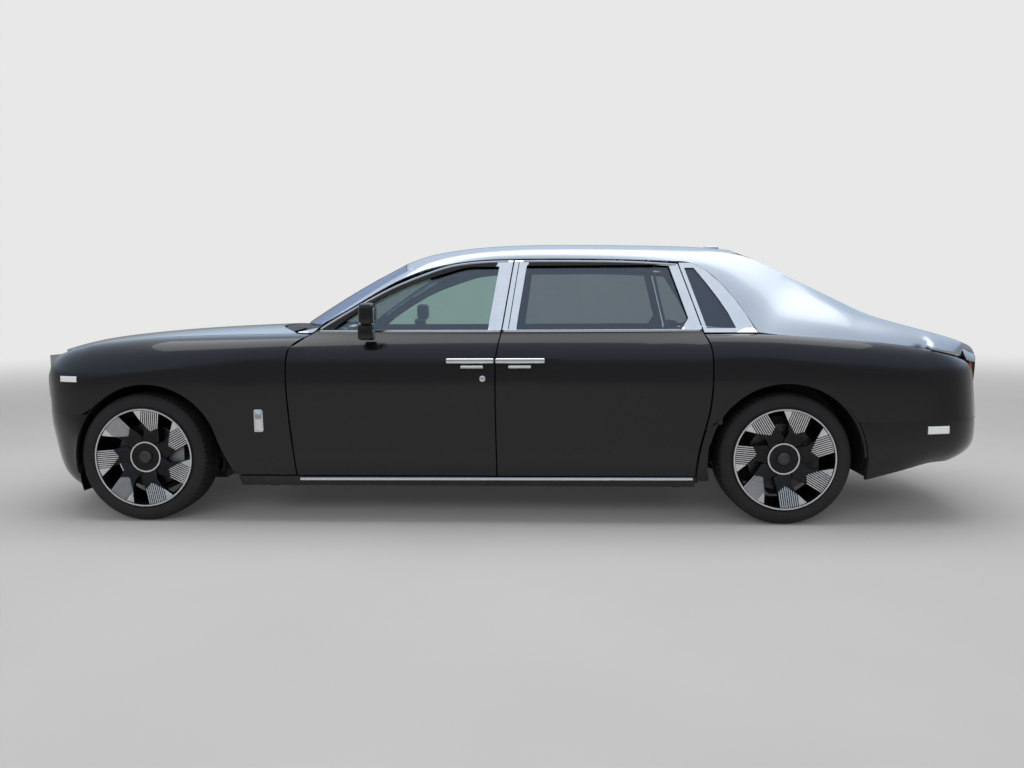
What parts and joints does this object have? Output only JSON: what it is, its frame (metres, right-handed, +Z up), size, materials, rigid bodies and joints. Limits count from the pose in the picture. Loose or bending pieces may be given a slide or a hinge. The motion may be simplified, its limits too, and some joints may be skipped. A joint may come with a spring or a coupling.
{
  "type": "luxury sedan",
  "caption": "Long four-door luxury sedan in black and silver with rear-hinged rear doors, an upright barred grille and wheels that steer and turn.",
  "frame": {"origin": "middle of the car's length and width, on the ground", "axes": "X points to the rear, Y to the car's right side, Z up"},
  "size_m": [5.971, 2.26, 1.681],
  "materials": {
    "gloss_black": "deep gloss black paint",
    "silver_paint": "silver metallic paint, clear coated",
    "chrome": "polished",
    "lamp_clear": "clear lamp glass",
    "lamp_red": "red lamp glass",
    "tinted_glass": "dark tinted glass",
    "dark_steel": "primed and painted dark",
    "leather_tan": "smooth tan leather",
    "black_trim": "matt black",
    "cast_alloy": "cast, dull",
    "tyre": "matt black rubber",
    "wheel_satin": "satin dark lacquer with bright machined faces"
  },
  "bodies": {
    "body": {"floor_pan": "dark_steel", "side_frames": "dark_steel", "roof_panel": "silver_paint", "front_wing_left": "gloss_black", "front_wing_right": "gloss_black", "quarter_left": "gloss_black", "quarter_right": "gloss_black", "body_sides": "silver_paint", "front_bumper": "gloss_black", "rear_bumper": "gloss_black", "grille": "chrome", "headlamps": "lamp_clear", "tail_lamps": "lamp_red", "window_surrounds": "chrome", "fixed_glass": "tinted_glass", "bulkhead": "dark_steel", "dashboard": "leather_tan", "seats": "leather_tan", "engine": "cast_alloy", "front_axle": "dark_steel", "rear_axle": "dark_steel", "underside": "black_trim"},
    "bonnet": {"bonnet": "silver_paint"},
    "boot_lid": {"boot_lid": "silver_paint"},
    "steering_wheel": {"steering_wheel": "black_trim"},
    "front_door_left": {"front_door_left": "gloss_black", "front_window_left": "tinted_glass", "mirror_left": "gloss_black"},
    "rear_door_left": {"rear_door_left": "gloss_black", "rear_window_left": "tinted_glass"},
    "knuckle_left": {"knuckle_left": "cast_alloy"},
    "wheel_front_left": {"wheel_front_left": "wheel_satin", "tyre_front_left": "tyre"},
    "wheel_rear_left": {"wheel_rear_left": "wheel_satin", "tyre_rear_left": "tyre"},
    "front_door_right": {"front_door_right": "gloss_black", "front_window_right": "tinted_glass", "mirror_right": "gloss_black"},
    "rear_door_right": {"rear_door_right": "gloss_black", "rear_window_right": "tinted_glass"},
    "knuckle_right": {"knuckle_right": "cast_alloy"},
    "wheel_front_right": {"wheel_front_right": "wheel_satin", "tyre_front_right": "tyre"},
    "wheel_rear_right": {"wheel_rear_right": "wheel_satin", "tyre_rear_right": "tyre"}
  },
  "joints": [
    {"name": "steer_left", "type": "hinge", "parent": "body", "child": "knuckle_left", "pos_m": [-2.111, -0.7845, 0.385], "axis": [0, 0, 1], "range_deg": [-35, 35]},
    {"name": "spin_front_left", "type": "hinge", "parent": "knuckle_left", "child": "wheel_front_left", "pos_m": [-2.111, -0.8345, 0.385], "axis": [0, 1, 0], "continuous": true},
    {"name": "spin_rear_left", "type": "hinge", "parent": "body", "child": "wheel_rear_left", "pos_m": [1.661, -0.8195, 0.385], "axis": [0, 1, 0], "continuous": true},
    {"name": "front_door_left", "type": "hinge", "parent": "body", "child": "front_door_left", "pos_m": [-1.13, -0.985, 0.7], "axis": [0, 0, -1], "range_deg": [0, 65]},
    {"name": "rear_door_left", "type": "hinge", "parent": "body", "child": "rear_door_left", "pos_m": [1.1, -0.985, 0.7], "axis": [0, 0, 1], "range_deg": [0, 80]},
    {"name": "steer_right", "type": "hinge", "parent": "body", "child": "knuckle_right", "pos_m": [-2.111, 0.7845, 0.385], "axis": [0, 0, 1], "range_deg": [-35, 35]},
    {"name": "spin_front_right", "type": "hinge", "parent": "knuckle_right", "child": "wheel_front_right", "pos_m": [-2.111, 0.8345, 0.385], "axis": [0, 1, 0], "continuous": true},
    {"name": "spin_rear_right", "type": "hinge", "parent": "body", "child": "wheel_rear_right", "pos_m": [1.661, 0.8195, 0.385], "axis": [0, 1, 0], "continuous": true},
    {"name": "front_door_right", "type": "hinge", "parent": "body", "child": "front_door_right", "pos_m": [-1.13, 0.985, 0.7], "axis": [0, 0, 1], "range_deg": [0, 65]},
    {"name": "rear_door_right", "type": "hinge", "parent": "body", "child": "rear_door_right", "pos_m": [1.1, 0.985, 0.7], "axis": [0, 0, -1], "range_deg": [0, 80]},
    {"name": "bonnet", "type": "hinge", "parent": "body", "child": "bonnet", "pos_m": [-1.2, 0, 1.112], "axis": [0, 1, 0], "range_deg": [0, 50]},
    {"name": "boot_lid", "type": "hinge", "parent": "body", "child": "boot_lid", "pos_m": [2.28, 0, 1.17], "axis": [0, -1, 0], "range_deg": [0, 75]},
    {"name": "steering_wheel", "type": "hinge", "parent": "body", "child": "steering_wheel", "pos_m": [-0.8, -0.37, 0.96], "axis": [0.9063, 0, 0.4226], "range_deg": [-490, 490]}
  ],
  "couplings": [
    {"joint": "steer_right", "follows": "steer_left", "ratio": 1},
    {"joint": "steering_wheel", "follows": "steer_left", "ratio": 14}
  ]
}
